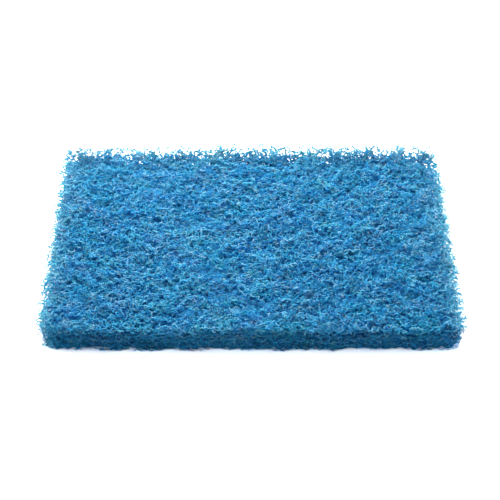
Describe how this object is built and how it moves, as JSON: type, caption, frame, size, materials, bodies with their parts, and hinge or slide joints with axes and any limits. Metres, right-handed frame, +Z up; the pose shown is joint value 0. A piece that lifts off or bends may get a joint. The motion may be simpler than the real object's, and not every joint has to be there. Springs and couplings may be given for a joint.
{
  "type": "hand scouring pad",
  "caption": "Rectangular hand scouring pad of blue nonwoven fibre web, with rounded corners and a lofty, pitted surface.",
  "frame": {"origin": "middle of the underside, which lies flat on what the pad rests on", "axes": "+X along the long side, +Y along the short side away from the picture's viewer, +Z up through the thickness"},
  "size_m": [0.2302, 0.1532, 0.0148],
  "materials": {
    "nonwoven_web": "matt, open web of resin-bonded blue nylon fibres"
  },
  "bodies": {
    "root": {"scouring_pad": "nonwoven_web"}
  },
  "joints": []
}
